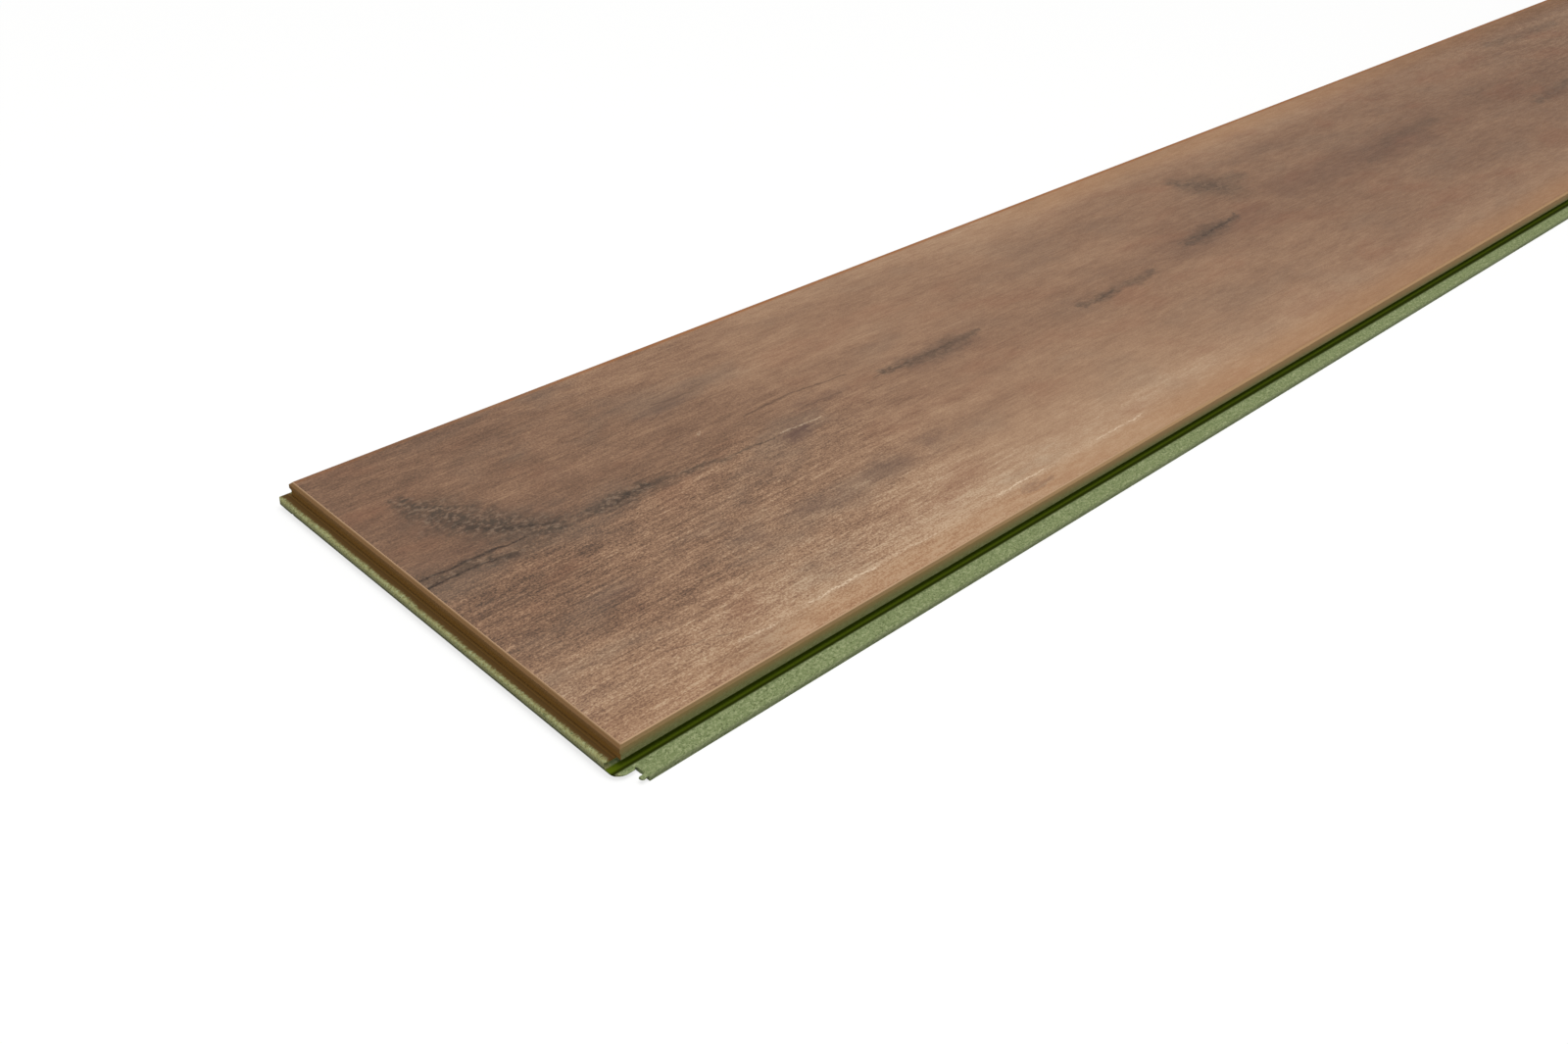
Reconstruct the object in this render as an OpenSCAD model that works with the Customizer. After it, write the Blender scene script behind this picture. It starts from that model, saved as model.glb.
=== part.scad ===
// Click-together floor plank: a decor face on a fibreboard core.
// +X runs along the plank and +Y across it, and the underside lies at z = 0.
// The end at -X and the side at +Y carry a tongue. The other end and side have
// a groove, and its lower lip reaches out under the tongue of the next plank.

/* [Board] */
// Covered length, from joint line to joint line
cover_l = 1292; // [400:1:2400]
// Covered width, from joint line to joint line
cover_w = 193; // [90:1:400]
// Thickness from the underside to the wear face
board_t = 12; // [12:0.5:15]
// Thickness of the decor layer
decor_t = 0.5; // [0.2:0.05:0.8]
// Width of the 45 degree bevel round the wear face
bevel_w = 1.3; // [1:0.1:2]

/* [Long joint] */
// Thickness of the long upper lip, from the groove to the wear face
long_upper = 6.2; // [5.8:0.1:6.6]
// Height of the long groove's floor above the underside
long_floor = 2.7; // [2.5:0.1:3]
// How far the long tongue stands out past the joint line
long_tongue = 2.5; // [2:0.1:3.6]
// How far the long lower lip stands out past the joint line
long_lip = 8.4; // [8:0.1:10]
// Radius of the hollow that the tongue rocks into
rock_r = 6.6; // [6:0.1:8]
// Depth of that hollow below the groove's floor
rock_d = 1.2; // [0.9:0.1:1.4]
// Radius of the locking face that rises from the hollow
lock_r = 1.3; // [1.1:0.1:1.5]
// Width of the ridge outside the locking face
ridge_w = 1.5; // [1.4:0.1:2]
// Rounding of the ridge's outer corner
ridge_r = 1.3; // [0.8:0.1:1.4]

/* [End joint] */
// Thickness of the end upper lip, from the groove to the wear face
end_upper = 6.1; // [5.8:0.1:6.6]
// Height of the end groove's floor above the underside
end_floor = 1.7; // [1.6:0.1:2]
// How far the end tongue stands out past the joint line
end_tongue = 4.1; // [3.6:0.1:5]
// How far the end lower lip stands out past the joint line
end_lip = 5.2; // [4.6:0.1:6]
// Radius of the snap bead along the end lip's edge
bead_r = 0.7; // [0.5:0.1:0.9]
// Height of the snap bead above the end groove's floor
bead_h = 0.4; // [0.2:0.1:0.5]

/* [Both joints] */
// Rounding of the tongues' noses
nose_r = 1.2; // [0.8:0.1:1.3]
// Play between a tongue and the groove round it
play = 0.15; // [0.05:0.05:0.3]
// Empty depth left in front of a tongue's nose
nose_gap = 0.4; // [0.2:0.1:1]
// How far the wall above a tongue steps back below its upper edge
step_in = 0.5; // [0.2:0.1:0.8]
// Height of the wall that still meets the next plank, below the bevel
meet_h = 1.6; // [1:0.1:2]

/* [Corners] */
// Rounding of the end tongue's near corner in plan
near_corner_r = 5.2; // [3.6:0.1:6]
// How far out from the long joint line that rounding ends
near_corner_y = 3.1; // [2.7:0.1:3.4]
// Rounding of the end tongue's far corner in plan
far_corner_r = 2.2; // [1:0.1:3]
// Width of the notch cut into the long lip beside that corner
notch_w = 2.8; // [2.4:0.1:3]
// How far in from the end joint line that notch reaches
notch_end = 5.5; // [5:0.1:7]
// Where the round end of the long lip starts, in from the end joint line
lip_start = 2.1; // [1.6:0.1:2.4]

/* [Hidden] */
$fn = 64;
hdf_tone = "#7d8a5d";
decor_tone = "#9b7757";
// Overrun of every cut past the face it opens
over = 1;
half_l = cover_l / 2;
half_w = cover_w / 2;
// Lowest line of the rocking hollow, out from the joint line and up
rock_x = long_lip - ridge_w - lock_r;
rock_z = long_floor - rock_d;
ridge_top = rock_z + lock_r;
// Half the width that the notch leaves of the long lip
lip_end_r = (long_lip - near_corner_y - notch_w) / 2;

// Bar from x = 0 to x = reach between two heights, with a rounded nose
module nosed_bar(reach, low, high) {
    r = min(nose_r, (high - low) / 2);
    translate([0, low]) square([reach - r, high - low]);
    translate([0, low + r]) square([reach, high - low - 2 * r]);
    for (z = [low + r, high - r]) translate([reach - r, z]) circle(r);
}

// Plain body between its joint lines, with the bevel at the wear face
module bevelled_body(half) {
    polygon([
        [-half, 0], [half, 0],
        [half, board_t - bevel_w], [half - bevel_w, board_t],
        [bevel_w - half, board_t], [-half, board_t - bevel_w]
    ]);
}

// Cut that steps the wall above a tongue back, x = 0 at the joint line
module wall_step(tongue_top) {
    high = board_t - bevel_w - meet_h;
    polygon([
        [over, tongue_top], [-step_in, tongue_top],
        [-step_in, high - 2 * step_in], [0, high], [over, high]
    ]);
}

// Rocking hollow and locking face, x = 0 at the joint line
module rocking_hollow(inset) {
    translate([rock_x, rock_z]) {
        intersection() {
            translate([0, rock_r]) circle(rock_r - inset);
            translate([-rock_r, 0]) square(rock_r);
        }
        translate([0, lock_r]) circle(lock_r - inset);
        translate([0, lock_r]) square([lock_r - inset, rock_d]);
    }
}

// Long lower lip with its hollow and its locking ridge
module long_lip_profile() {
    difference() {
        union() {
            translate([-over, 0]) square([over + rock_x, long_floor]);
            translate([rock_x, 0]) square([long_lip - rock_x, ridge_top]);
        }
        rocking_hollow(0);
        translate([long_lip - ridge_r, ridge_top - ridge_r]) difference() {
            square(2 * ridge_r);
            circle(ridge_r);
        }
    }
}

// Space under the long tongue that takes the next row's lower lip
module long_lip_space() {
    start = -long_tongue - over;
    difference() {
        translate([start, -over]) square([long_lip + play - start, over + ridge_top + play]);
        translate([start - over, long_floor + play]) square([over + rock_x - start, board_t]);
        rocking_hollow(play);
    }
}

// End lower lip with its snap bead, grown all round by the play it needs
module end_lip_profile(grow) {
    translate([-end_tongue - over, -over])
        square([end_tongue + over + end_lip - bead_r, over + end_floor + grow]);
    translate([0, -over]) square([end_lip + grow, over + end_floor + bead_h - bead_r]);
    translate([end_lip - bead_r, end_floor + bead_h - bead_r]) circle(bead_r + grow);
}

// Outline across the plank, its tongue at +x and its lip at -x
module long_section() {
    groove_top = board_t - long_upper;
    difference() {
        union() {
            bevelled_body(half_w);
            translate([half_w, 0]) nosed_bar(long_tongue, long_floor + play, groove_top - play);
            translate([-half_w, 0]) mirror([1, 0]) long_lip_profile();
        }
        translate([-half_w, 0]) nosed_bar(long_tongue + nose_gap, long_floor, groove_top);
        translate([half_w, 0]) mirror([1, 0]) long_lip_space();
        translate([half_w, 0]) wall_step(groove_top - play);
    }
}

// Outline along the plank, its tongue at +x and its lip at -x
module end_section() {
    groove_top = board_t - end_upper;
    difference() {
        union() {
            bevelled_body(half_l);
            translate([half_l, 0]) nosed_bar(end_tongue, end_floor + play, groove_top - play);
            translate([-half_l, 0]) mirror([1, 0]) difference() {
                end_lip_profile(0);
                translate([-end_tongue - 2 * over, -2 * over]) square([end_tongue + end_lip + 4 * over, 2 * over]);
            }
        }
        translate([-half_l, 0]) nosed_bar(end_tongue + nose_gap, end_floor, groove_top);
        translate([half_l, 0]) mirror([1, 0]) end_lip_profile(play);
        translate([half_l, 0]) wall_step(groove_top - play);
    }
}

// Draws an outline out along the plank
module along_plank() {
    run = cover_l + 2 * (end_lip + end_tongue + over);
    translate([-run / 2, 0, 0]) rotate([90, 0, 90]) linear_extrude(run) children();
}

// Draws an outline out across the plank, its +x side towards -X
module across_plank() {
    run = cover_w + 2 * (long_lip + long_tongue + over);
    translate([0, -run / 2, 0]) rotate([90, 0, 180]) linear_extrude(run) children();
}

// Near end of the end tongue: a round corner, then the round start of the long lip
module near_corner_cut() {
    reach = long_lip + near_corner_r;
    difference() {
        translate([-end_tongue - over, -long_lip - over])
            square([over + end_tongue + lip_start + lip_end_r, reach]);
        translate([-end_tongue, near_corner_r - near_corner_y]) square(reach);
        translate([near_corner_r - end_tongue, -near_corner_y]) square(reach);
        translate([near_corner_r - end_tongue, near_corner_r - near_corner_y]) circle(near_corner_r);
        translate([lip_start + lip_end_r, lip_end_r - long_lip]) circle(lip_end_r);
    }
    // Round-ended notch between that corner and the lip's end
    translate([0, -near_corner_y - notch_w]) square([notch_end - notch_w / 2, notch_w]);
    translate([notch_end - notch_w / 2, -near_corner_y - notch_w / 2]) circle(notch_w / 2);
}

// Far end of the end tongue: a smaller round corner
module far_corner_cut() {
    translate([far_corner_r - end_tongue, long_tongue - far_corner_r]) difference() {
        translate([-far_corner_r - over, 0]) square(far_corner_r + over);
        circle(far_corner_r);
    }
}

// Plan of what the corners lose below the upper lips
module corner_plan() {
    translate([-half_l, -half_w]) near_corner_cut();
    translate([-half_l, half_w]) far_corner_cut();
    // The end lip stops short of the space under the long tongue
    translate([half_l, half_w - long_lip - play]) square([end_lip + over, long_lip + play + over]);
}

// Everything above a height
module above(height) {
    span = cover_l + cover_w;
    translate([-span / 2, -span / 2, height]) cube([span, span, board_t]);
}

// Fibreboard core, milled along all four edges
module hdf_core() {
    color(hdf_tone) difference() {
        intersection() {
            along_plank() long_section();
            across_plank() end_section();
        }
        above(board_t - decor_t);
        translate([0, 0, -over]) linear_extrude(over + board_t - end_upper) corner_plan();
    }
}

// Decor layer, cut through by the bevel
module decor_face() {
    color(decor_tone) intersection() {
        along_plank() bevelled_body(half_w);
        across_plank() bevelled_body(half_l);
        above(board_t - decor_t);
    }
}

hdf_core();
decor_face();
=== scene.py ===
"""Looks of a click-together laminate floor plank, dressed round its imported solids.

The wear face gets a printed brown oak with its cracks and knots, and the core gets
green fibreboard with the brown edge paint that the factory sprays on its bevels.
"""

import logging
import math
from dataclasses import dataclass
from enum import Enum
from typing import Any

import bpy
from mathutils import Matrix, Vector

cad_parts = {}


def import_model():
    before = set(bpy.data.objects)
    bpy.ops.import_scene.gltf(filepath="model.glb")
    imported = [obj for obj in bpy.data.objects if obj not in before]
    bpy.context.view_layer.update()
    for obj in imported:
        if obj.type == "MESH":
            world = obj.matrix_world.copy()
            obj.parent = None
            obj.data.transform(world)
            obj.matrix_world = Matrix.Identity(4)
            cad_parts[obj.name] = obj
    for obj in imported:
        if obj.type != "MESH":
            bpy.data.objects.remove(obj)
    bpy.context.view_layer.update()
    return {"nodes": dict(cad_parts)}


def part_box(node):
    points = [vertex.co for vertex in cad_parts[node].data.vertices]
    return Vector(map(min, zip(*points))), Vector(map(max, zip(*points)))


LOG = logging.getLogger("floor_plank")
MM = 0.001
PICTURE_WIDTH = 1600.0


def linear(hex_colour: str) -> tuple[float, float, float, float]:
    """Turns an sRGB hex colour into the linear colour that a shader reads.

    Args:
        hex_colour: Six hex digits, with or without a leading hash.

    Returns:
        Red, green, blue and an alpha of one.
    """
    digits = hex_colour.lstrip("#")
    parts = [int(digits[i : i + 2], 16) / 255 for i in (0, 2, 4)]
    red, green, blue = (
        p / 12.92 if p <= 0.04045 else ((p + 0.055) / 1.055) ** 2.4 for p in parts
    )
    return red, green, blue, 1.0


class ShaderTree:
    """Builds the nodes of a material or a group, in millimetres of the real plank."""

    def __init__(self, name: str, grouped: bool = False) -> None:
        """Makes an empty material of that name, or an empty group of nodes."""
        if grouped:
            self.tree = bpy.data.node_groups.new(name, "ShaderNodeTree")
            return
        self.material = bpy.data.materials.new(name)
        self.material.use_nodes = True
        self.tree = self.material.node_tree
        self.tree.nodes.clear()

    def add(self, kind: str, inputs: dict[Any, Any] | None = None, **settings: Any) -> Any:
        """Adds a node, sets its options, and links or fills its sockets.

        Args:
            kind: Blender's name of the node type.
            inputs: Socket name or number to a value or to another node's socket.
            settings: Options of the node itself.

        Returns:
            The new node.
        """
        node = self.tree.nodes.new(kind)
        for option, value in settings.items():
            setattr(node, option, value)
        for socket, value in (inputs or {}).items():
            if isinstance(value, bpy.types.NodeSocket):
                self.tree.links.new(value, node.inputs[socket])
            else:
                node.inputs[socket].default_value = value
        return node

    def math(self, operation: str, a: Any, b: Any = 0.0, clamp: bool = False, c: Any = 0.0) -> Any:
        """Gives the result of one sum on two or three numbers."""
        return self.add(
            "ShaderNodeMath", {0: a, 1: b, 2: c}, operation=operation, use_clamp=clamp
        ).outputs[0]

    def vector(self, operation: str, a: Any, b: Any = (0.0, 0.0, 0.0), c: Any = (0.0, 0.0, 0.0)) -> Any:
        """Gives the result of one sum on two or three vectors."""
        return self.add(
            "ShaderNodeVectorMath", {0: a, 1: b, 2: c}, operation=operation
        ).outputs[0]

    def ramp(self, value: Any, low: float, high: float, to_low: float = 0.0, to_high: float = 1.0) -> Any:
        """Gives a smooth step from to_low at low to to_high at high."""
        return self.add(
            "ShaderNodeMapRange",
            {0: value, 1: low, 2: high, 3: to_low, 4: to_high},
            interpolation_type="SMOOTHSTEP",
            clamp=False,
        ).outputs[0]

    def mix(self, share: Any, first: Any, second: Any, blend: str = "MIX") -> Any:
        """Mixes two colours by a share from zero to one."""
        return self.add(
            "ShaderNodeMix",
            {0: share, 6: first, 7: second},
            data_type="RGBA",
            blend_type=blend,
        ).outputs[2]

    def place(self) -> Any:
        """Gives the surface point in millimetres, in the plank's own frame."""
        where = self.add("ShaderNodeTexCoord").outputs["Object"]
        return self.add(
            "ShaderNodeVectorMath", {0: where, 3: 1 / MM}, operation="SCALE"
        ).outputs[0]

    def noise(
        self,
        where: Any,
        cell: tuple[float, float, float],
        detail: float = 2.0,
        roughness: float = 0.5,
        shift: float = 0.0,
        distortion: float = 0.0,
    ) -> Any:
        """Gives noise whose cells are that many millimetres along X, Y and Z."""
        scaled = self.add(
            "ShaderNodeMapping",
            {
                "Vector": where,
                "Location": (shift, shift * 0.7, shift * 0.3),
                "Scale": tuple(1 / c for c in cell),
            },
        ).outputs[0]
        return self.add(
            "ShaderNodeTexNoise",
            {
                "Vector": scaled,
                "Scale": 1.0,
                "Detail": detail,
                "Roughness": roughness,
                "Distortion": distortion,
            },
        ).outputs[0]

    def finish(self, colour: Any, height: Any, depth: float, **shader: Any) -> bpy.types.Material:
        """Closes the material with a principled shader over a bump.

        Args:
            colour: The base colour.
            height: The relief, from zero to one.
            depth: How deep that relief is, in millimetres.
            shader: Sockets of the principled shader, by their names with underscores.

        Returns:
            The finished material.
        """
        bump = self.add(
            "ShaderNodeBump", {"Height": height, "Distance": depth * MM, "Strength": 1.0}
        )
        sockets = {name.replace("_", " "): value for name, value in shader.items()}
        body = self.add(
            "ShaderNodeBsdfPrincipled",
            {"Base Color": colour, "Normal": bump.outputs[0], **sockets},
        )
        self.add("ShaderNodeOutputMaterial", {0: body.outputs[0]})
        return self.material


@dataclass(frozen=True)
class GrainMark:
    """A crack, knot or streak of the print, drawn along a line on the wear face.

    Each point is its distance along the plank and across it from the near corner of
    the joint lines, and the mark's half width there, all in millimetres.
    """

    points: tuple[tuple[float, float, float], ...]
    weight: float = 1.0


@dataclass(frozen=True)
class OakPrint:
    """Printed brown oak under a satin melamine overlay."""

    tones: tuple[tuple[float, str], ...] = (
        (0.0, "#352922"),
        (0.14, "#47382e"),
        (0.28, "#5d4738"),
        (0.42, "#755844"),
        (0.57, "#8c6a52"),
        (0.71, "#a27e62"),
        (0.86, "#b69273"),
        (1.0, "#cbae8f"),
    )
    across_tones: tuple[tuple[float, float], ...] = (
        (0.0, 0.80),
        (0.11, 0.80),
        (0.19, 0.71),
        (0.32, 0.62),
        (0.45, 0.60),
        (0.56, 0.54),
        (0.68, 0.59),
        (0.86, 0.58),
        (0.95, 0.62),
        (1.0, 0.64),
    )
    cool: str = "#77695b"
    warm: str = "#935f45"
    edge_tone: str = "#b47f4f"
    arris_tone: str = "#a3642f"
    cut_edge: str = "#c9a47f"
    far_cut: str = "#b08660"
    cut_paint: str = "#8a6740"
    smear_tone: str = "#544538"
    stain_tone: str = "#674c41"
    crack_tone: str = "#3a2c23"
    grit_tone: str = "#978673"
    glint_tone: str = "#e4caab"
    smears: tuple[GrainMark, ...] = (
        GrainMark(((25, 156, 4.0), (27, 148, 7.6), (32, 139, 11.6)), 0.78),
        GrainMark(((32, 139, 11.6), (37, 130, 10.4), (44, 121, 9.2)), 0.86),
        GrainMark(((44, 121, 9.2), (51, 114, 8.4), (59, 107, 7.4)), 0.82),
        GrainMark(((0, 107.4, 3.4), (30, 106.8, 3.4)), 0.62),
        GrainMark(((30, 105, 2.8), (39, 101.5, 3.6)), 0.55),
        GrainMark(((40, 104, 5.0), (64, 104.6, 5.4)), 0.42),
        GrainMark(((60, 106.4, 3.6), (78, 105, 3.0)), 0.5),
        GrainMark(((76, 105, 3.2), (90, 105.6, 4.2), (103, 105.4, 3.8)), 0.78),
        GrainMark(((103, 105.2, 3.4), (118, 103.8, 2.4), (133, 102.6, 1.8)), 0.52),
        GrainMark(((133, 102.4, 1.8), (152, 100.8, 1.3), (168, 100.4, 1.0)), 0.45),
        GrainMark(((246, 109.4, 2.0), (270, 107.6, 5.0), (290, 107.2, 5.4), (312, 109.6, 2.4)), 0.62),
        GrainMark(((374, 93.6, 2.0), (392, 93, 4.2), (406, 93.6, 3.0)), 0.72),
        GrainMark(((406, 94.6, 3.0), (420, 94, 4.0), (440, 93.4, 2.4)), 0.6),
        GrainMark(((478, 101, 2.6), (500, 102.4, 3.0)), 0.3),
        GrainMark(((484, 101.4, 3.0), (506, 104.0, 6.4), (541, 106.2, 2.6)), 0.82),
        GrainMark(((553, 154, 6.0), (560, 145, 11.0), (572, 137, 15.0)), 0.78),
        GrainMark(((572, 138, 12.0), (597, 139, 6.0)), 0.55),
        GrainMark(((690, 100, 3.0), (716, 103, 5.0), (740, 114, 5.0), (800, 112, 6.0)), 0.3),
        GrainMark(((904, 84, 3.0), (936, 86, 7.0), (990, 90, 5.0)), 0.6),
        GrainMark(((1004, 166, 4.0), (1050, 162, 7.0), (1120, 160, 4.0)), 0.45),
        GrainMark(((1150, 60, 1.5), (1192, 64, 4.0), (1246, 61, 1.5)), 0.6),
    )
    stains: tuple[GrainMark, ...] = (
        GrainMark(((174, 95.4, 4.2), (183, 97.6, 4.2)), 1.2),
        GrainMark(((138, 56, 4.0), (160, 53, 5.0)), 0.35),
        GrainMark(((176, 56, 4.0), (197, 53, 5.0)), 0.4),
        GrainMark(((42, 61.5, 2.6), (62, 59.5, 3.0)), 0.45),
        GrainMark(((106, 58, 3.0), (114, 54, 3.2)), 0.35),
        GrainMark(((214, 57, 2.6), (221, 57, 2.6)), 0.5),
        GrainMark(((221, 9, 2.2), (236, 8, 1.6)), 0.5),
        GrainMark(((194, 110.6, 2.4), (222, 109.6, 2.4)), 0.4),
        GrainMark(((262, 106, 7.0), (300, 106, 7.0)), 0.4),
        GrainMark(((136, 144, 5.0), (156, 149, 5.0)), 0.3),
        GrainMark(((18, 140, 9.0), (60, 118, 9.0)), 0.22),
        GrainMark(((10, 118, 5.0), (30, 116, 5.0)), 0.25),
        GrainMark(((78, 134, 4.0), (84, 136, 4.0)), 0.2),
        GrainMark(((470, 100, 9.0), (560, 102, 9.0)), 0.25),
        GrainMark(((600, 112, 12.0), (760, 106, 14.0)), 0.3),
    )
    cracks: tuple[GrainMark, ...] = (
        GrainMark(((0, 109.9, 0.7), (28, 109.4, 0.8), (47, 108.2, 0.5)), 0.95),
        GrainMark(((0, 105, 0.9), (22, 105, 0.8), (32, 104, 0.5)), 1.0),
        GrainMark(((27, 141, 1.8), (31, 133, 2.2), (37, 124, 2.2)), 0.45),
        GrainMark(((37, 124, 1.7), (47, 116, 1.7), (52, 113, 1.5), (60, 109, 1.0)), 0.6),
        GrainMark(((29, 105.4, 0.9), (38, 101.4, 1.5)), 0.75),
        GrainMark(((60, 104.4, 0.6), (78, 103.4, 0.7)), 0.4),
        GrainMark(((86, 104, 1.3), (96, 106, 1.4), (104, 106.6, 1.0)), 0.6),
        GrainMark(((102, 106.6, 0.8), (120, 104.4, 0.7), (138, 102.8, 0.5)), 0.42),
        GrainMark(((98, 110.2, 0.6), (124, 110, 0.5)), 0.4),
        GrainMark(((82, 102.2, 0.5), (118, 101, 0.5)), 0.35),
        GrainMark(((138, 101.6, 0.5), (164, 100.4, 0.6)), 0.45),
        GrainMark(((171, 120.4, 0.6), (190, 122.2, 0.8)), 0.5),
        GrainMark(((190, 122.2, 0.7), (206, 121, 0.7), (230, 118.8, 0.6)), 0.5),
        GrainMark(((196, 110.4, 0.5), (218, 109, 0.7)), 0.3),
        GrainMark(((238, 108.8, 0.6), (264, 109, 0.8)), 0.4),
        GrainMark(((264, 108.6, 0.9), (296, 108.4, 0.8)), 0.3),
        GrainMark(((41, 26, 0.35), (56, 22, 0.4)), 0.5),
        GrainMark(((60, 20.4, 0.5), (66, 18.8, 0.4)), 0.4),
        GrainMark(((87, 37, 0.6), (95, 40.4, 0.6), (106, 38.6, 0.5), (114, 34.6, 0.5)), 0.3),
        GrainMark(((0, 80, 0.5), (52, 80.6, 0.6)), 0.25),
        GrainMark(((52, 80.6, 0.5), (102, 78.4, 0.5)), 0.2),
        GrainMark(((9, 66.2, 0.5), (46, 65, 0.5)), 0.3),
        GrainMark(((78, 48.6, 0.8), (84, 48, 0.8)), 0.3),
        GrainMark(((137, 23, 0.4), (141, 21.4, 0.4)), 0.3),
        GrainMark(((137, 142, 0.7), (144, 145, 0.7)), 0.35),
        GrainMark(((146, 151.4, 0.7), (158, 150, 0.7), (168, 149.4, 0.5)), 0.3),
        GrainMark(((384, 92.6, 0.8), (402, 93.6, 1.0)), 0.4),
        GrainMark(((500, 103, 1.2), (532, 105.4, 1.0)), 0.5),
    )
    glints: tuple[GrainMark, ...] = (
        GrainMark(((66, 13.4, 2.0), (310, 13.6, 2.0)), 0.16),
        GrainMark(((66, 13.8, 0.6), (82, 12.6, 0.4)), 0.6),
        GrainMark(((98, 13.9, 0.6), (134, 12.5, 0.8)), 0.9),
        GrainMark(((144, 13.2, 0.6), (168, 12.4, 0.5)), 0.6),
        GrainMark(((206, 14, 0.6), (238, 13.8, 0.5)), 0.8),
        GrainMark(((276, 13.5, 0.5), (308, 13.7, 0.5)), 0.7),
        GrainMark(((172, 101.4, 0.5), (195, 100.0, 0.5)), 0.4),
        GrainMark(((144.6, 122.2, 0.8), (145.4, 122.8, 0.8)), 0.4),
    )


class OakFace:
    """The decor layer with its printed oak."""

    def __init__(self, node: bpy.types.Object, look: OakPrint) -> None:
        """Keeps the node that is dressed and the print that it wears."""
        self.node = node
        self.look = look
        self.low, self.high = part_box(node.name)
        self.bevel = 1.3
        self.brush = self.stroke()

    def stroke(self) -> bpy.types.NodeTree:
        """Makes the group that draws one straight stretch of a mark.

        It tells how far a point lies from the stretch, in the mark's half widths there,
        fades the mark out over that, and keeps the stronger of it and the marks so far.

        Returns:
            The group's tree.
        """
        tree = ShaderTree("grain_stroke", grouped=True)
        interface = tree.tree.interface
        for name in ("Where", "Start", "Run", "Rate"):
            interface.new_socket(name=name, in_out="INPUT", socket_type="NodeSocketVector")
        for name in ("Half", "Widening", "Soft", "Weight", "So far"):
            interface.new_socket(name=name, in_out="INPUT", socket_type="NodeSocketFloat")
        interface.new_socket(name="Shown", in_out="OUTPUT", socket_type="NodeSocketFloat")
        given = tree.add("NodeGroupInput").outputs
        out = tree.vector("SUBTRACT", given["Where"], given["Start"])
        share = tree.add(
            "ShaderNodeVectorMath", {0: out, 1: given["Rate"]}, operation="DOT_PRODUCT"
        ).outputs["Value"]
        share = tree.math("MINIMUM", tree.math("MAXIMUM", share, 0.0), 1.0)
        foot = tree.add(
            "ShaderNodeVectorMath", {0: given["Run"], 3: share}, operation="SCALE"
        ).outputs[0]
        away = tree.add(
            "ShaderNodeVectorMath", {0: out, 1: foot}, operation="DISTANCE"
        ).outputs["Value"]
        half = tree.math("MULTIPLY_ADD", share, given["Widening"], c=given["Half"])
        shown = tree.ramp(tree.math("DIVIDE", away, half), 0.0, given["Soft"], given["Weight"], 0.0)
        tree.add("NodeGroupOutput", {"Shown": tree.math("MAXIMUM", given["So far"], shown)})
        return tree.tree

    def drawn(
        self, tree: ShaderTree, where: Any, marks: tuple[GrainMark, ...], soft: float
    ) -> Any:
        """Gives how strongly some marks show at a point of the face.

        Args:
            tree: The material that is being built.
            where: The point, in millimetres from the near corner.
            marks: The marks.
            soft: Where they end, in their own half widths.

        Returns:
            A socket from zero to one.
        """
        strongest: Any = 0.0
        for mark in marks:
            for (x0, y0, w0), (x1, y1, w1) in zip(mark.points, mark.points[1:]):
                run = Vector((x1 - x0, y1 - y0, 0.0))
                strongest = tree.add(
                    "ShaderNodeGroup",
                    {
                        "Where": where,
                        "Start": (x0, y0, 0.0),
                        "Run": run,
                        "Rate": run / run.length_squared,
                        "Half": w0,
                        "Widening": w1 - w0,
                        "Soft": soft,
                        "Weight": mark.weight,
                        "So far": strongest,
                    },
                    node_tree=self.brush,
                ).outputs[0]
        return strongest

    def sway(self, tree: ShaderTree, where: Any, cell: tuple[float, float], detail: float) -> Any:
        """Gives a wandering push around zero, with cells that many millimetres wide."""
        placed = tree.add(
            "ShaderNodeMapping", {"Vector": where, "Scale": (1 / cell[0], 1 / cell[1], 1.0)}
        ).outputs[0]
        waves = tree.add(
            "ShaderNodeTexNoise",
            {"Vector": placed, "Scale": 1.0, "Detail": detail, "Roughness": 0.65},
        ).outputs[1]
        return tree.vector("SUBTRACT", waves, (0.5, 0.5, 0.5))

    def moved(self, tree: ShaderTree, where: Any, push: Any, reach: tuple[float, float]) -> Any:
        """Gives the point moved along and across by a push of that many millimetres."""
        return tree.vector("MULTIPLY_ADD", push, (*reach, 0.0), where)

    def ramp_of(self, tree: ShaderTree, value: Any, stops: tuple[tuple[float, Any], ...]) -> Any:
        """Gives a colour ramp whose stops are places with colours or grey levels."""
        node = tree.add("ShaderNodeValToRGB", {0: value})
        elements = node.color_ramp.elements
        while len(elements) < len(stops):
            elements.new(0.5)
        for element, (place, tone) in zip(elements, stops):
            element.position = place
            element.color = linear(tone) if isinstance(tone, str) else (tone, tone, tone, 1.0)
        return node.outputs[0]

    def dress(self) -> None:
        """Builds the print and gives it to the node."""
        tree = ShaderTree("oak_print")
        look = self.look
        corner = (self.bevel - self.low.x / MM, self.bevel - self.low.y / MM, 0.0)
        where = tree.add(
            "ShaderNodeVectorMath", {0: tree.place(), 1: corner}, operation="ADD"
        ).outputs[0]
        split = tree.add("ShaderNodeSeparateXYZ", {0: where})
        along, across, height = split.outputs
        flat = tree.add(
            "ShaderNodeCombineXYZ", {0: along, 1: across, 2: 0.0}
        ).outputs[0]

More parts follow.
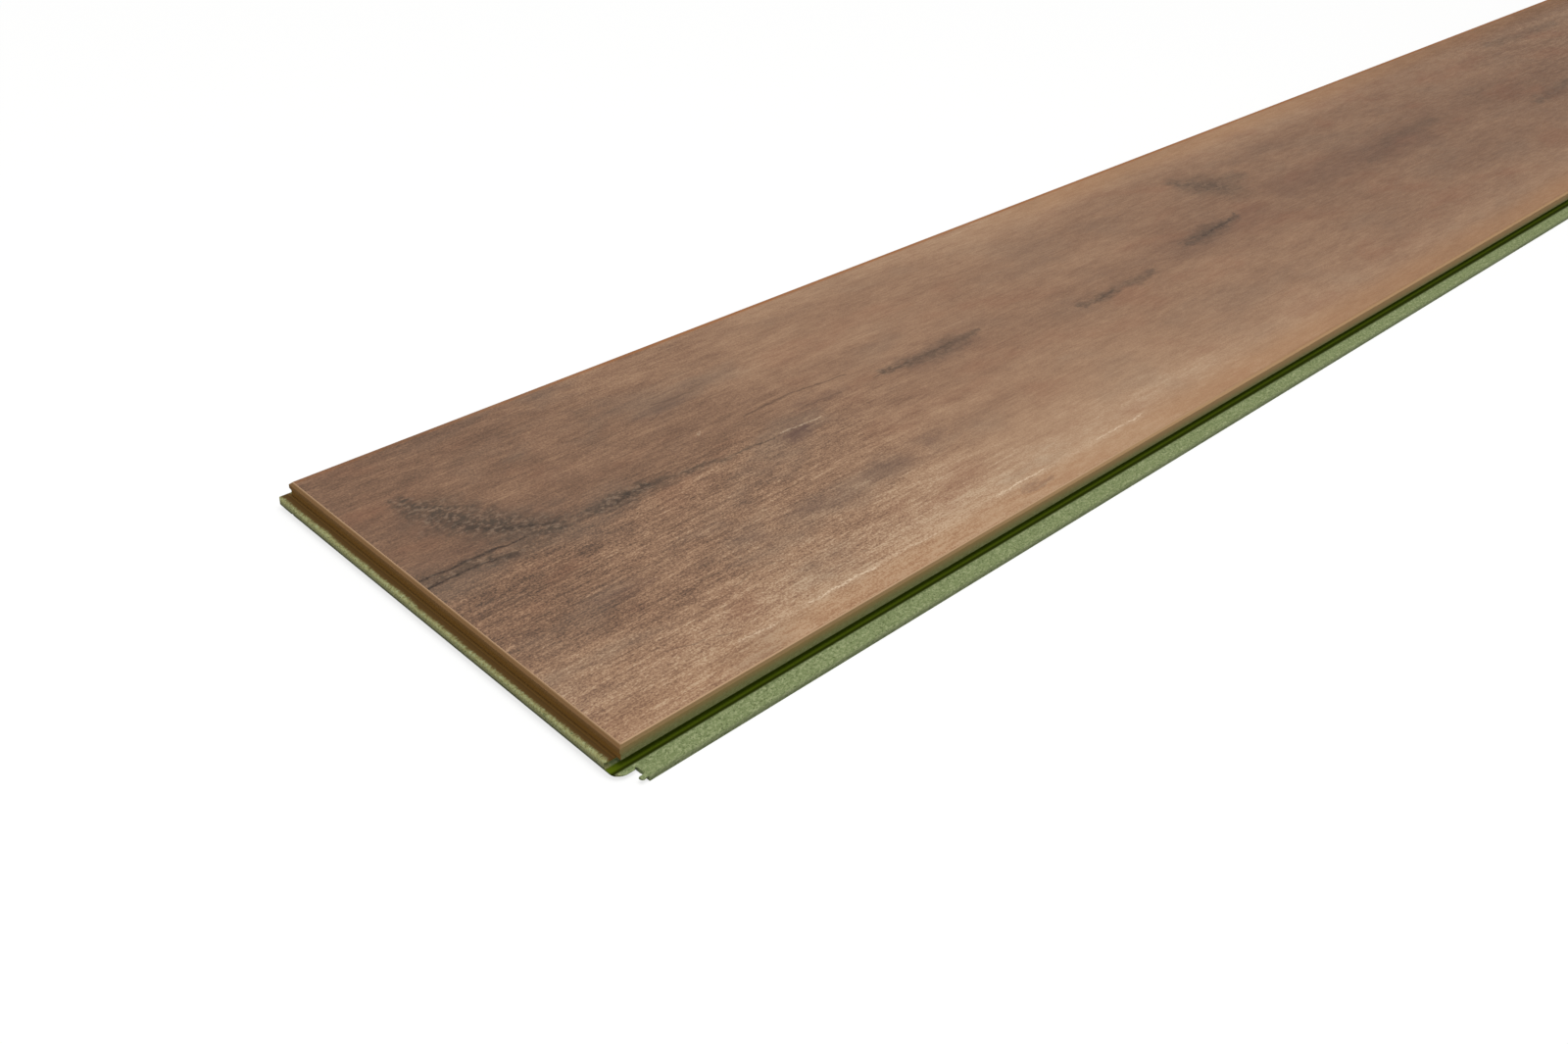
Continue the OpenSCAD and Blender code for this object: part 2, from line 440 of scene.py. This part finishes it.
        clouds = tree.noise(flat, (110.0, 28.0, 1.0), 3.0, 0.5, 3.1)
        mottle = tree.noise(flat, (23.0, 7.0, 1.0), 3.0, 0.6, 11.7)
        dashes = tree.noise(flat, (8.0, 1.7, 1.0), 3.0, 0.6, 7.9)
        lines = tree.noise(flat, (30.0, 0.8, 1.0), 2.0, 0.6, 5.3)
        motes = tree.noise(flat, (1.0, 0.62, 1.0), 3.0, 0.75, 9.2)
        width = (self.high.y - self.low.y) / MM + 2 * self.bevel

        tone = self.ramp_of(tree, tree.math("DIVIDE", across, width), look.across_tones)
        trend = tree.math(
            "ADD", tree.ramp(along, 0.0, 240.0, -0.07, 0.08), tree.ramp(along, 360.0, 700.0, 0.0, -0.09)
        )
        tone = tree.math("ADD", tone, trend)
        far_band = tree.math(
            "MULTIPLY", tree.ramp(across, 150.0, 186.0), tree.ramp(along, 40.0, 520.0, -0.04, 0.14)
        )
        near_band = tree.math(
            "MULTIPLY",
            tree.ramp(across, 30.0, 14.0),
            tree.math("MULTIPLY", tree.ramp(along, 50.0, 120.0), tree.ramp(along, 380.0, 200.0, 0.0, 0.07)),
        )
        tone = tree.math("ADD", tone, tree.math("ADD", far_band, near_band))
        near_far = tree.math(
            "MULTIPLY", tree.ramp(across, 70.0, 25.0), tree.ramp(along, 300.0, 430.0, 0.0, -0.08)
        )
        tone = tree.math("ADD", tone, near_far)
        last_stretch = tree.math(
            "MULTIPLY", tree.ramp(across, 165.0, 184.0), tree.ramp(along, 640.0, 1160.0, 0.0, -0.29)
        )
        middle = tree.math(
            "MULTIPLY", tree.ramp(across, 110.0, 145.0), tree.ramp(along, 520.0, 660.0, 0.0, 0.04)
        )
        tone = tree.math("ADD", tone, tree.math("ADD", last_stretch, middle))
        calm = tree.ramp(along, 200.0, 320.0)
        for part, weight in (
            (clouds, tree.math("MULTIPLY_ADD", calm, -0.12, c=0.32)),
            (mottle, tree.math("MULTIPLY_ADD", calm, -0.14, c=0.35)),
        ):
            tone = tree.math("ADD", tone, tree.math("MULTIPLY", tree.math("SUBTRACT", part, 0.5), weight))
        # The pores are inked heavily in the near corner's third, and again towards the far end.
        crisp = tree.math(
            "MULTIPLY", tree.ramp(along, 270.0, 130.0), tree.ramp(across, 122.0, 92.0, 0.3, 1.0)
        )
        crisp = tree.math("MAXIMUM", crisp, tree.ramp(along, 850.0, 1150.0, 0.0, 0.6))
        pores: Any = 0.0
        for part, weight in ((dashes, 0.32), (lines, 0.26), (motes, 0.72)):
            pores = tree.math("ADD", pores, tree.math("MULTIPLY", tree.math("SUBTRACT", part, 0.5), weight))
        tone = tree.math(
            "ADD", tone, tree.math("MULTIPLY", pores, tree.math("MULTIPLY_ADD", crisp, 1.36, c=0.64))
        )

        sway = self.sway(tree, flat, (9.0, 5.0), 4.0)
        wide = self.moved(tree, flat, sway, (20.0, 13.0))
        thin = self.moved(tree, flat, sway, (12.0, 4.0))
        smear = self.drawn(tree, wide, look.smears, 1.75)
        stain = self.drawn(tree, wide, look.stains, 1.75)
        crack = self.drawn(tree, thin, look.cracks, 1.4)
        glint = self.drawn(tree, thin, look.glints, 1.4)
        clots = tree.noise(flat, (5.0, 3.2, 1.0), 4.0, 0.7, 2.4)
        speckle = tree.noise(flat, (2.4, 1.5, 1.0), 3.0, 0.7, 14.6)
        grit = tree.math("ADD", tree.ramp(speckle, 0.36, 0.62, -0.45, 0.45), tree.ramp(clots, 0.3, 0.66, 0.5, 1.05))
        # The marks further along are printed soft, without that grit.
        gritty = tree.math("MULTIPLY_ADD", calm, -0.62, c=1.0)
        grit = tree.math("MULTIPLY_ADD", tree.math("SUBTRACT", grit, 0.72), gritty, c=0.72)
        gaps = tree.math("MULTIPLY", tree.ramp(motes, 0.36, 0.6, 0.3, 1.35), tree.ramp(clots, 0.32, 0.52, 0.5, 1.05))

        colour = self.ramp_of(tree, tone, look.tones)
        cool = tree.noise(flat, (60.0, 26.0, 1.0), 3.0, 0.55, 21.0)
        greyed = tree.math("MULTIPLY", tree.ramp(cool, 0.5, 0.72, 0.0, 0.3), tree.math("MULTIPLY_ADD", calm, -0.5, c=1.0))
        colour = tree.mix(greyed, colour, linear(look.cool))
        colour = tree.mix(tree.ramp(cool, 0.48, 0.3, 0.0, 0.25), colour, linear(look.warm))
        edge_warmth = tree.math("MULTIPLY", tree.ramp(across, 22.0, 5.0), tree.ramp(along, 20.0, 110.0, 0.1, 0.34))
        colour = tree.mix(edge_warmth, colour, linear(look.edge_tone))
        far_warmth = tree.math("MULTIPLY", tree.ramp(across, 170.0, 186.0), tree.ramp(along, 380.0, 480.0, 0.0, 0.3))
        colour = tree.mix(far_warmth, colour, linear(look.edge_tone))
        # The far arris is browned where the spray of the bevel creeps over it.
        arris = tree.math("MULTIPLY", tree.ramp(across, 189.4, 191.2), tree.ramp(along, 40.0, 220.0, 0.3, 0.8))
        colour = tree.mix(arris, colour, linear(look.arris_tone))
        colour = tree.mix(tree.math("MULTIPLY", stain, 0.7), colour, linear(look.stain_tone))
        colour = tree.mix(tree.math("MULTIPLY", smear, grit, True), colour, linear(look.smear_tone))
        colour = tree.mix(tree.math("MULTIPLY", crack, gaps, True), colour, linear(look.crack_tone))
        pale = tree.math("MULTIPLY", tree.ramp(speckle, 0.5, 0.34, 0.0, 0.5), gritty)
        colour = tree.mix(tree.math("MULTIPLY", smear, pale), colour, linear(look.grit_tone))
        colour = tree.mix(tree.math("MULTIPLY", glint, gaps, True), colour, linear(look.glint_tone))

        cut = tree.ramp(height, 12.0 - 0.03, 12.0 - 0.12)
        cut_tone = tree.mix(tree.ramp(along, 220.0, 460.0), linear(look.cut_edge), linear(look.far_cut))
        colour = tree.mix(cut, colour, cut_tone)
        # Edge paint at the ends creeps up over the lower half of the cut.
        at_end = tree.ramp(along, 2 * self.bevel, self.bevel * 0.6)
        crept = tree.math("MULTIPLY", at_end, tree.ramp(height, 12.0 - 0.18, 12.0 - 0.36))
        colour = tree.mix(crept, colour, linear(look.cut_paint))

        relief = tree.math("ADD", tree.math("MULTIPLY", dashes, 0.5), tree.math("MULTIPLY", lines, 0.3))
        relief = tree.math("ADD", relief, tree.math("MULTIPLY", motes, 0.35))
        rough = tree.ramp(dashes, 0.3, 0.7, 0.6, 0.48)
        # A melamine overlay bends light like glass, and its emboss breaks the shine to satin.
        self.node.data.materials.clear()
        self.node.data.materials.append(
            tree.finish(colour, relief, 0.12, Roughness=rough, IOR=1.45)
        )
        LOG.info("%s wears its printed oak", self.node.name)


@dataclass(frozen=True)
class Fibreboard:
    """Green moisture-resistant fibreboard with brown edge paint on its bevels, with the tones of its painted shade
    and painted light.
    """

    green: str = "#808d5c"
    pale_fibre: str = "#a9b183"
    dark_fibre: str = "#5b663c"
    end_fibre: str = "#a39c66"
    # Painted highlight on the lip's ridge, and painted shade on the ridge's foot and the tongue's nose.
    ridge_highlight: str = "#b3bc8c"
    underside_shade: str = "#3f452a"
    # Painted shade of the long groove and of the end tongue's corner, lighter deep inside the groove.
    groove_shade_inside: str = "#56660f"
    groove_shade: str = "#2a3203"
    # Painted shade: the end paint drawn darker on the tongue's top. Painted light: the end paint drawn lighter in
    # the crease and low on the wall.
    tongue_painted_shade: str = "#563b08"
    crease_painted_light: str = "#b08238"
    low_wall_painted_light: str = "#8d6423"
    wall_paint: str = "#825c25"
    bevel_paint: str = "#84613a"
    wall_green: str = "#8a8449"
    side_spray: str = "#ac8c57"
    side_bevel: str = "#8c6f48"
    far_spray: str = "#bf976a"
    far_bevel: str = "#be966c"


class MilledCore:
    """The fibreboard core, milled on all four edges."""

    def __init__(
        self, node: bpy.types.Object, board: Fibreboard, joint_x: float, joint_y: float
    ) -> None:
        """Keeps the node that is dressed, its board, and how far out its joints lie."""
        self.node = node
        self.board = board
        self.joint_x = joint_x
        self.joint_y = joint_y

    def dress(self) -> None:
        """Builds the board's look and gives it to the node."""
        tree = ShaderTree("green_fibreboard")
        look = self.board
        where = tree.place()
        split = tree.add("ShaderNodeSeparateXYZ", {0: where})
        along, across, height = split.outputs

        fibre = tree.noise(where, (1.5, 1.1, 0.6), 3.0, 0.65, 1.3)
        speck = tree.noise(where, (0.75, 0.6, 0.5), 1.0, 0.6, 6.1)
        drift = tree.noise(where, (30.0, 18.0, 6.0), 2.0, 0.5, 4.2)
        beyond = tree.math("SUBTRACT", tree.math("ABSOLUTE", along), self.joint_x)
        aside = tree.math("SUBTRACT", tree.math("MULTIPLY", across, -1.0), self.joint_y)
        board = tree.mix(tree.ramp(beyond, 0.3, 2.0, 0.0, 0.8), linear(look.green), linear(look.end_fibre))
        colour = tree.mix(tree.ramp(fibre, 0.45, 0.7, 0.0, 0.9), board, linear(look.pale_fibre))
        colour = tree.mix(tree.ramp(fibre, 0.44, 0.25, 0.0, 0.9), colour, linear(look.dark_fibre))
        colour = tree.mix(tree.ramp(speck, 0.6, 0.72, 0.0, 0.8), colour, linear(look.pale_fibre))
        colour = tree.mix(tree.ramp(speck, 0.4, 0.3, 0.0, 1.0), colour, linear(look.dark_fibre))

        spray = tree.math("MULTIPLY", tree.math("SUBTRACT", drift, 0.5), 1.6)
        ragged = tree.math("MULTIPLY", tree.math("SUBTRACT", fibre, 0.5), 1.6)
        wander = tree.math("ADD", spray, ragged)

        # Painted shade: the groove's floor under the upper lip and the lip's first millimetre outside it are drawn
        # dark green, where the upper lip shades them, and less dark deep inside the groove.
        edge = tree.math("ADD", tree.ramp(along, -600.0, -100.0, 0.9, 1.6), tree.math("MULTIPLY", ragged, 0.15))
        outward = tree.math("SUBTRACT", aside, edge)
        groove_shade = tree.math("MULTIPLY", tree.ramp(outward, 0.45, -0.45), tree.ramp(aside, -3.2, -2.6))
        groove_shade = tree.math("MULTIPLY", groove_shade, tree.ramp(height, 5.85, 5.7))
        groove_shade = tree.math("MULTIPLY", groove_shade, tree.ramp(beyond, 4.6, 3.0))
        groove_shade_tone = tree.mix(tree.ramp(aside, -1.0, 0.1), linear(look.groove_shade_inside), linear(look.groove_shade))
        colour = tree.mix(groove_shade, colour, groove_shade_tone)
        # Painted highlight: the outer face of the lip's ridge is drawn pale, as if lit like the top. Painted shade:
        # the ridge's foot and the lower rounding of the end tongue's nose are drawn dark.
        ridge_highlight = tree.math("MULTIPLY", tree.ramp(aside, 7.6, 8.3), tree.ramp(height, 0.8, 1.3, 0.0, 0.7))
        colour = tree.mix(ridge_highlight, colour, linear(look.ridge_highlight))
        foot = tree.math("MULTIPLY", tree.ramp(aside, 8.0, 8.3), tree.ramp(height, 1.1, 0.6, 0.0, 0.9))
        nose_shade = tree.math("MULTIPLY", tree.ramp(beyond, 3.0, 3.6), tree.ramp(height, 4.1, 3.2, 0.0, 0.85))
        colour = tree.mix(tree.math("MAXIMUM", foot, nose_shade), colour, linear(look.underside_shade))

        # The long sides only catch a thin spray under their bevels, more of it far along.
        start = tree.math("ADD", tree.ramp(along, -600.0, -100.0, 6.4, 4.6), tree.math("MULTIPLY", wander, 0.7))
        sprayed = tree.ramp(tree.math("SUBTRACT", height, start), 0.0, 4.8, 0.0, 0.95)
        sprayed = tree.math("MULTIPLY", sprayed, tree.ramp(height, 5.6, 5.9))
        on_bevel = tree.ramp(height, 10.5, 10.9)
        near = tree.mix(on_bevel, linear(look.side_spray), linear(look.side_bevel))
        far = tree.mix(on_bevel, linear(look.far_spray), linear(look.far_bevel))
        spray_tone = tree.mix(tree.ramp(along, -550.0, -270.0), near, far)
        wall = tree.math("MULTIPLY", tree.ramp(height, 5.6, 5.9), tree.ramp(aside, -2.0, -1.5, 0.0, 0.5))
        colour = tree.mix(wall, colour, linear(look.wall_green))
        colour = tree.mix(sprayed, colour, spray_tone)
        # The ends are painted from the bevel down to the inner half of the tongue.
        beyond_w = tree.math("ADD", beyond, tree.math("MULTIPLY", wander, 1.2))
        end_paint = tree.math("MULTIPLY", tree.ramp(beyond_w, 3.3, 1.4), tree.ramp(beyond, -2.0, -1.0))
        end_paint = tree.math("MULTIPLY", end_paint, tree.ramp(height, 5.2, 5.6))
        facing = tree.add(
            "ShaderNodeSeparateXYZ", {0: tree.add("ShaderNodeNewGeometry").outputs["Normal"]}
        ).outputs[1]
        end_paint = tree.math("MULTIPLY", end_paint, tree.ramp(facing, -0.65, -0.4))
        # The end paint is drawn darker on the tongue's top, as painted shade from the wall above it, and lighter low
        # on the wall, as painted light against the recess's shade.
        paint = tree.mix(tree.ramp(height, 5.9, 6.6), linear(look.tongue_painted_shade), linear(look.low_wall_painted_light))
        paint = tree.mix(tree.ramp(height, 8.0, 9.2), paint, linear(look.wall_paint))
        paint = tree.mix(tree.ramp(height, 9.8, 11.0), paint, linear(look.bevel_paint))
        # Painted light: the end paint is drawn lighter in the crease between wall and tongue, to cancel the shade
        # that falls there.
        crease_lightening = tree.math("MULTIPLY", tree.ramp(beyond, 0.05, -0.25), tree.ramp(height, 7.0, 6.0, 0.0, 0.2))
        paint = tree.mix(crease_lightening, paint, linear(look.crease_painted_light))
        colour = tree.mix(end_paint, colour, paint)

        relief = tree.math("ADD", tree.math("MULTIPLY", fibre, 0.6), tree.math("MULTIPLY", speck, 0.4))
        # Milled fibreboard is matt wood and resin: fibres stand up and scatter the light.
        self.node.data.materials.clear()
        # Less shine where the groove's painted shade lies.
        shine = tree.math("MULTIPLY_ADD", groove_shade, -0.45, c=0.5)
        self.node.data.materials.append(
            tree.finish(colour, relief, 0.16, Roughness=0.85, IOR=1.47, Specular_IOR_Level=shine)
        )
        LOG.info("%s wears its green fibreboard", self.node.name)


class Lamp(Enum):
    """Softboxes of the studio: place, aim, size and power."""

    TOP = ("top", (-0.6, -0.7, 4.0), (-0.3, 0.0, 0.0), 2.6, 104.0)
    LEFT = ("left", (-3.0, -0.3, 2.2), (-0.5, 0.0, 0.0), 1.4, 12.0)


@dataclass
class Studio:
    """Pale floor, white surround, softboxes and the camera."""

    eye_mm: tuple[float, float, float] = (-882.32, -368.77, 345.86)
    focal_px: float = 1590.5
    pitch: float = 34.346
    yaw: float = 48.078
    roll: float = -5.002
    floor_half: float = 12.0
    floor_colour: str = "#959594"
    floor_lift: float = 0.74
    world_strength: float = 0.3

    def camera(self) -> None:
        """Stands the camera where the photograph was taken from."""
        pitch, yaw, roll = (math.radians(a) for a in (self.pitch, self.yaw, self.roll))
        ahead = Vector(
            (math.cos(pitch) * math.sin(yaw), math.cos(pitch) * math.cos(yaw), -math.sin(pitch))
        )
        right = Vector((math.cos(yaw), -math.sin(yaw), 0.0))
        down = ahead.cross(right)
        right_rolled = math.cos(roll) * right + math.sin(roll) * down
        down_rolled = -math.sin(roll) * right + math.cos(roll) * down
        data = bpy.data.cameras.new("camera")
        data.sensor_width = 36.0
        data.lens = self.focal_px / PICTURE_WIDTH * data.sensor_width
        data.clip_start, data.clip_end = 0.01, 100.0
        camera = bpy.data.objects.new("camera", data)
        turn = Matrix((right_rolled, -down_rolled, -ahead)).transposed()
        camera.matrix_world = Matrix.Translation(Vector(self.eye_mm) * MM) @ turn.to_4x4()
        bpy.context.scene.collection.objects.link(camera)
        bpy.context.scene.camera = camera

    def lamps(self) -> None:
        """Hangs the softboxes."""
        for lamp in Lamp:
            name, place, aim, size, power = lamp.value
            data = bpy.data.lights.new(name, "AREA")
            data.shape, data.size, data.energy = "SQUARE", size, power
            light = bpy.data.objects.new(name, data)
            light.location = place
            light.rotation_mode = "QUATERNION"
            light.rotation_quaternion = (Vector(aim) - Vector(place)).to_track_quat("-Z", "Y")
            bpy.context.scene.collection.objects.link(light)

    def floor(self) -> None:
        """Lays the pale floor, which lifts to white for the camera and keeps the shadow."""
        half = self.floor_half
        mesh = bpy.data.meshes.new("floor")
        corners = [(-half, -half, 0.0), (half, -half, 0.0), (half, half, 0.0), (-half, half, 0.0)]
        mesh.from_pydata(corners, [], [(0, 1, 2, 3)])
        floor = bpy.data.objects.new("floor", mesh)
        bpy.context.scene.collection.objects.link(floor)
        tree = ShaderTree("pale_floor")
        matt = tree.add("ShaderNodeBsdfDiffuse", {"Color": linear(self.floor_colour)})
        path = tree.add("ShaderNodeLightPath")
        seen = tree.math("MAXIMUM", path.outputs["Is Camera Ray"], path.outputs["Is Glossy Ray"])
        seen = tree.math("MAXIMUM", seen, path.outputs["Is Transmission Ray"])
        # Lamplight fades far out, so the lift grows there and the floor stays white.
        far_out = tree.add("ShaderNodeVectorMath", {0: tree.place()}, operation="LENGTH").outputs["Value"]
        lifted = tree.ramp(far_out, 1000.0, 3500.0, self.floor_lift, 1.0)
        lift = tree.add(
            "ShaderNodeEmission",
            {"Color": (1.0, 1.0, 1.0, 1.0), "Strength": tree.math("MULTIPLY", seen, lifted)},
        )
        both = tree.add("ShaderNodeAddShader", {0: matt.outputs[0], 1: lift.outputs[0]})
        tree.add("ShaderNodeOutputMaterial", {0: both.outputs[0]})
        mesh.materials.append(tree.material)

    def surround(self) -> None:
        """Makes the world white for the camera and soft on the object."""
        world = bpy.data.worlds.new("surround")
        bpy.context.scene.world = world
        world.use_nodes = True
        nodes, links = world.node_tree.nodes, world.node_tree.links
        nodes.clear()
        path = nodes.new("ShaderNodeLightPath")
        seen = nodes.new("ShaderNodeMath")
        seen.operation = "ADD"
        seen.use_clamp = True
        links.new(path.outputs["Is Camera Ray"], seen.inputs[0])
        links.new(path.outputs["Is Transmission Ray"], seen.inputs[1])
        level = nodes.new("ShaderNodeMapRange")
        level.inputs["To Min"].default_value = self.world_strength
        level.inputs["To Max"].default_value = 1.0
        links.new(seen.outputs[0], level.inputs["Value"])
        background = nodes.new("ShaderNodeBackground")
        background.inputs["Color"].default_value = (1.0, 1.0, 1.0, 1.0)
        links.new(level.outputs[0], background.inputs["Strength"])
        output = nodes.new("ShaderNodeOutputWorld")
        links.new(background.outputs[0], output.inputs[0])

    def build(self) -> None:
        """Sets the whole studio up."""
        scene = bpy.context.scene
        scene.view_settings.view_transform = "Standard"
        self.camera()
        self.lamps()
        self.floor()
        self.surround()
        LOG.info("studio set")


def main() -> None:
    """Dresses the plank and sets the studio."""
    logging.basicConfig(level=logging.INFO)
    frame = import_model()
    Studio().build()
    face = OakFace(frame["nodes"]["decor_face"], OakPrint())
    face.dress()
    joint_x = face.high.x / MM + face.bevel
    joint_y = face.high.y / MM + face.bevel
    MilledCore(frame["nodes"]["hdf_core"], Fibreboard(), joint_x, joint_y).dress()


if __name__ == "__main__":
    main()
